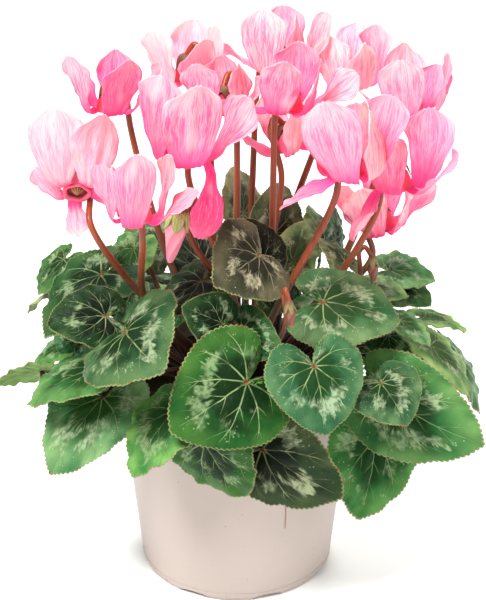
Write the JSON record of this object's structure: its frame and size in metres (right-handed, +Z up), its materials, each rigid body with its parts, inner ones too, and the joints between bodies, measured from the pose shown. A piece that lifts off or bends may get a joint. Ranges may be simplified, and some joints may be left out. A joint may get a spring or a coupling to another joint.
{
  "type": "potted cyclamen",
  "caption": "Flowering pot plant: a plain tapered plastic pot of soil with a dome of marbled heart-shaped leaves and nodding pink blooms on upright stems.",
  "frame": {"origin": "middle of the part's base, on the surface that the pot's feet stand on", "axes": "+Z up, -Y towards the viewer of its best side, +X to that viewer's right"},
  "size_m": [0.2431, 0.1989, 0.282],
  "materials": {
    "pot": "satin",
    "soil": "matte",
    "stems": "satin",
    "leaves": "satin",
    "petals": "satin",
    "buds": "satin"
  },
  "bodies": {
    "root": {"pot": "pot", "soil": "soil", "tuber_and_stems": "stems", "leaf_01": "leaves", "leaf_02": "leaves", "leaf_03": "leaves", "leaf_04": "leaves", "leaf_05": "leaves", "leaf_06": "leaves", "leaf_07": "leaves", "leaf_08": "leaves", "leaf_09": "leaves", "leaf_10": "leaves", "leaf_11": "leaves", "leaf_12": "leaves", "leaf_13": "leaves", "leaf_14": "leaves", "leaf_15": "leaves", "leaf_16": "leaves", "leaf_17": "leaves", "leaf_18": "leaves", "leaf_19": "leaves", "leaf_20": "leaves", "leaf_21": "leaves", "leaf_22": "leaves", "leaf_23": "leaves", "leaf_24": "leaves", "leaf_25": "leaves", "leaf_26": "leaves", "leaf_27": "leaves", "leaf_28": "leaves", "leaf_29": "leaves", "leaf_30": "leaves", "leaf_31": "leaves", "leaf_32": "leaves", "leaf_33": "leaves", "leaf_34": "leaves", "leaf_35": "leaves", "leaf_36": "leaves", "leaf_37": "leaves", "leaf_38": "leaves", "leaf_39": "leaves", "leaf_40": "leaves", "bloom_01": "petals", "bloom_02": "petals", "bloom_03": "petals", "bloom_04": "petals", "bloom_05": "petals", "bloom_06": "petals", "bloom_07": "petals", "bloom_08": "petals", "bloom_09": "petals", "bloom_10": "petals", "bloom_11": "petals", "bloom_12": "petals", "bloom_13": "petals", "bloom_14": "petals", "bud_01": "buds", "bud_02": "buds", "bud_03": "buds"}
  },
  "joints": []
}
